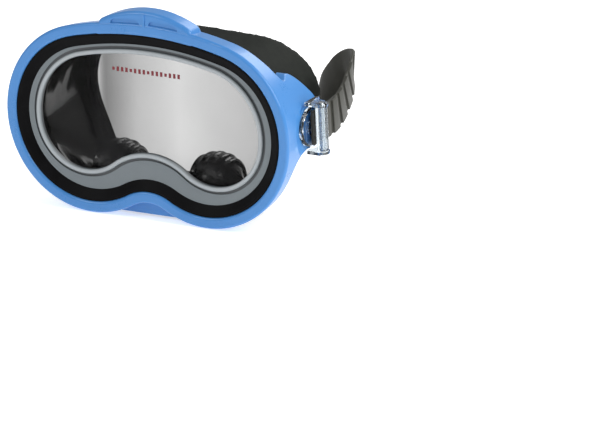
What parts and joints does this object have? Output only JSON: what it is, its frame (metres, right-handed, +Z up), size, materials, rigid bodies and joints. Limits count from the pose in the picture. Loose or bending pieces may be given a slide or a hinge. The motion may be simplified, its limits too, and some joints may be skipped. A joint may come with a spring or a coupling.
{
  "type": "snorkel mask",
  "caption": "Single-lens snorkelling mask: blue frame with brow crest, black retaining ring, grey bezel, clear lens, black skirt with finger wells, swivelling buckles and strap.",
  "frame": {"origin": "centre of the bounding box in X and Y, on the table in Z", "axes": "+X to the right of someone facing the mask, -Y out of the front, +Z up"},
  "size_m": [0.1888, 0.1006, 0.114],
  "materials": {
    "frame_plastic": "glossy",
    "black_plastic": "satin",
    "grey_plastic": "satin",
    "clear_lens": "clear polycarbonate",
    "clear_plastic": "clear moulded plastic",
    "black_rubber": "matte outside, glossy inside",
    "strap_rubber": "satin",
    "steel": "plain"
  },
  "bodies": {
    "mask_body": {"frame": "frame_plastic", "retaining_ring": "black_plastic", "lens_bezel": "grey_plastic", "lens": "clear_lens", "skirt": "black_rubber", "left_pivot_stud": "clear_plastic", "right_pivot_stud": "clear_plastic", "left_stud_washer": "frame_plastic", "right_stud_washer": "frame_plastic"},
    "left_buckle_body": {"left_buckle": "clear_plastic", "left_roller_axle": "steel", "strap": "strap_rubber"},
    "right_buckle_body": {"right_buckle": "clear_plastic", "right_roller_axle": "steel"},
    "left_roller_body": {"left_roller": "clear_plastic"},
    "right_roller_body": {"right_roller": "clear_plastic"}
  },
  "joints": [
    {"name": "left_buckle_swivel", "type": "hinge", "parent": "mask_body", "child": "left_buckle_body", "pos_m": [-0.0839, -0.02225, 0.0549], "axis": [1, 0, 0], "range_deg": [0, 120]},
    {"name": "right_buckle_swivel", "type": "hinge", "parent": "mask_body", "child": "right_buckle_body", "pos_m": [0.0839, -0.02225, 0.0549], "axis": [1, 0, 0], "range_deg": [0, 120]},
    {"name": "left_roller_spin", "type": "hinge", "parent": "left_buckle_body", "child": "left_roller_body", "pos_m": [-0.09075, -0.02225, 0.0549], "axis": [0, 0.5299, 0.848], "continuous": true},
    {"name": "right_roller_spin", "type": "hinge", "parent": "right_buckle_body", "child": "right_roller_body", "pos_m": [0.09075, -0.02225, 0.0549], "axis": [0, -0.0523, 0.9986], "continuous": true}
  ],
  "couplings": [
    {"joint": "right_buckle_swivel", "follows": "left_buckle_swivel", "ratio": 1}
  ]
}
